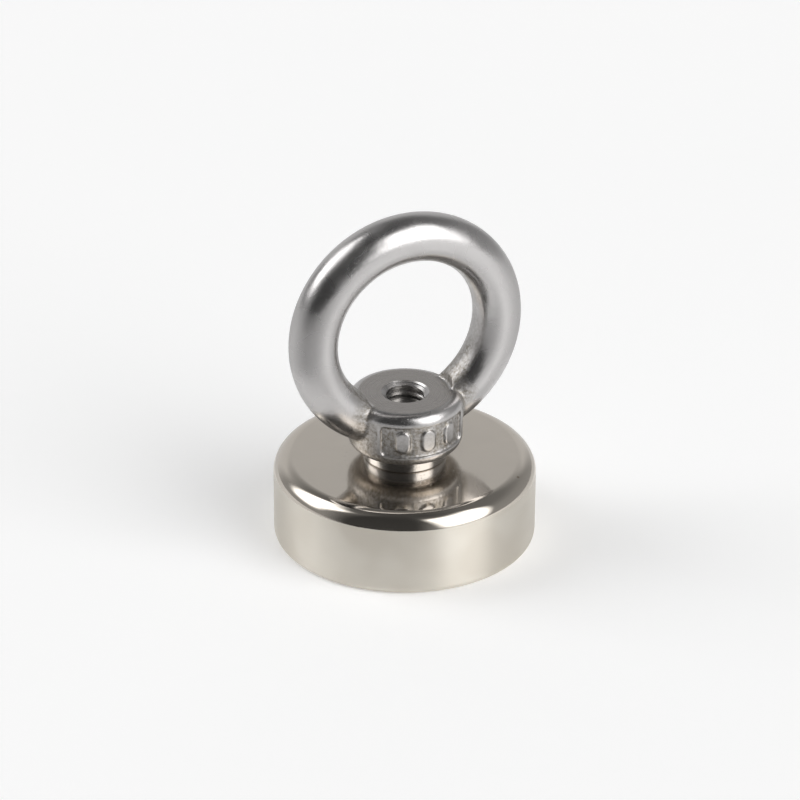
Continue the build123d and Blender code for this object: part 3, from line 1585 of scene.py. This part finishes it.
    def boss_skin_at(self, place: Vector, wander: float) -> float:
        """Says how rough the skin is at a point of the boss's side.

        Args:
            place: the point, in millimetres.
            wander: a slow unevenness at that point, around 0.

        Returns:
            From 0, tumbled bright, to 1, rough as cast.
        """
        skin = self.skin
        sunk = self.boss_radius - math.hypot(place.x, place.y)
        if self.on_panel(place) and self.panel_bottom < place.z < self.panel_top:
            return held(skin.panel + (sunk - skin.panel_step) * skin.panel_gain, skin.panel)
        from_eye = math.hypot(place.x, place.z - self.eye_height)
        gap = math.hypot(from_eye - self.mean_radius, place.y) - self.wire_radius
        root = faded(gap, skin.root_reach + skin.root_wander * wander, skin.root_fade)
        # The left side gets more cast skin, so it is rougher and darker: painted shade.
        left = held(-place.x / self.boss_radius)
        below_round = faded(place.z, self.boss_top - self.upper_round + skin.round_reach, skin.round_fade)
        side = held(skin.boss + skin.boss_left_roughness_and_shade * left + skin.boss_wander * wander)
        return max(root, below_round * side)


@dataclass
class Camera:
    """The camera that sees the object as the photograph does."""

    elevation: float = 28.14
    roll: float = 0.37
    distance: float = 537.8
    aside: float = -0.583
    raised: float = 17.23
    lens: float = 180.0
    sensor: float = 36.0
    clip: Point = (0.01, 20.0)

    def build(self) -> None:
        """Makes the camera and sets it as the scene's own."""
        data = bpy.data.cameras.new("camera")
        data.lens = self.lens
        data.sensor_width = self.sensor
        data.clip_start, data.clip_end = self.clip
        place = Matrix.Rotation(math.radians(-CAMERA_AZIMUTH), 4, "Z")
        place = place @ Matrix.Rotation(math.radians(90 - self.elevation), 4, "X")
        place = place @ Matrix.Rotation(math.radians(self.roll), 4, "Z")
        offset = Vector((self.aside, self.raised, self.distance)) * MILLIMETRE
        seen = placed("camera", data)
        seen.matrix_world = place @ Matrix.Translation(offset)
        bpy.context.scene.camera = seen


@dataclass(frozen=True)
class Softbox:
    """A large soft light, as a patch of the sky, in degrees.

    Its azimuth is the angle from straight behind the object, to the right.
    """

    azimuth: float
    half_width: float
    low: float
    high: float
    edge: float
    strength: float = 1.0
    lean: float = 0.0
    flare: float = 0.0

    def mask(self, wiring: Wiring, direction: Source, elevation: Source) -> Socket:
        """Draws the patch.

        Args:
            wiring: the world's wiring.
            direction: the direction that is looked in.
            elevation: its height above the horizon, in degrees.

        Returns:
            The light's share in that direction.
        """
        aside = wiring.math("DEGREES", wiring.bearing(direction, self.azimuth))
        rise = wiring.math("SUBTRACT", elevation, (self.low + self.high) / 2)
        leaning = wiring.math("SUBTRACT", aside, wiring.times(rise, self.lean))
        away = wiring.math("ABSOLUTE", leaning)
        flared = wiring.math("SUBTRACT", away, wiring.times(rise, self.flare))
        across = wiring.step(flared, self.half_width + self.edge, self.half_width - self.edge)
        above = wiring.step(elevation, self.low - self.edge, self.low + self.edge)
        below = wiring.step(elevation, self.high + self.edge, self.high - self.edge)
        return wiring.times(wiring.times(across, above), below)


@dataclass
class Studio:
    """The pale floor and the soft light round it; the ramps run from the horizon to overhead."""

    floor_size: float = 1.5
    front: tuple[Point, ...] = ((0.0, 0.06), (0.7, 0.05), (1.0, 0.07))
    sides: tuple[Point, ...] = ((0.0, 0.36), (0.28, 0.31), (0.5, 0.2), (0.72, 0.17), (0.9, 0.08))
    backdrop: tuple[Point, ...] = (
        (0.0, 0.68),
        (0.3, 0.64),
        (0.39, 0.38),
        (0.5, 0.2),
        (0.72, 0.1),
        (1.0, 0.07),
    )
    side_zone: Softbox = Softbox(azimuth=20, half_width=139, low=-100, high=100, edge=13)
    back_zone: Softbox = Softbox(azimuth=-8, half_width=36, low=-100, high=100, edge=12)
    boxes: tuple[Softbox, ...] = (
        Softbox(azimuth=-78, half_width=22, low=19, high=60, edge=8, strength=3.2, lean=0.2, flare=0.3),
        Softbox(azimuth=124, half_width=26, low=4, high=61, edge=8, strength=3.2, lean=-0.15, flare=0.28),
    )

    def build(self) -> None:
        """Makes the floor and the sky."""
        shape = bmesh.new()
        bmesh.ops.create_grid(shape, x_segments=1, y_segments=1, size=self.floor_size)
        mesh = bpy.data.meshes.new("floor")
        shape.to_mesh(mesh)
        shape.free()
        mesh.materials.append(PaleFloor().material())
        placed("floor", mesh)
        self.light()

    def light(self) -> None:
        """Draws the sky: dark in front and above, grey at the sides and behind, with two softboxes."""
        world = bpy.data.worlds.new("studio")
        world.use_nodes = True
        bpy.context.scene.world = world
        wiring = Wiring(world.node_tree)
        direction = wiring.node("TexCoord").outputs["Generated"]
        height = wiring.node("SeparateXYZ", direction).outputs[2]
        elevation = wiring.math("DEGREES", wiring.math("ARCSINE", height))
        overhead = wiring.math("DIVIDE", elevation, 90)
        sky = wiring.grey_ramp(overhead, self.front)
        for zone, stops in ((self.side_zone, self.sides), (self.back_zone, self.backdrop)):
            share = zone.mask(wiring, direction, elevation)
            sky = wiring.mixed(share, sky, wiring.grey_ramp(overhead, stops))
        for box in self.boxes:
            sky = wiring.mixed(box.mask(wiring, direction, elevation), sky, (box.strength,) * 3)
        background = world.node_tree.nodes["Background"]
        wiring.feed(background.inputs["Color"], sky)
        bpy.context.scene.view_settings.view_transform = "Standard"


def main() -> None:
    """Builds the pieces in order, from the cup to the eye nut, and then the studio."""
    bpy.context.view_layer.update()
    for part in (Cup(), MagnetRing(), ResinSeal(), Screw(), EyeNut()):
        piece = part.build()
        log.info("%s is dressed", piece.name)
    Camera().build()
    Studio().build()


if __name__ == "__main__":
    main()
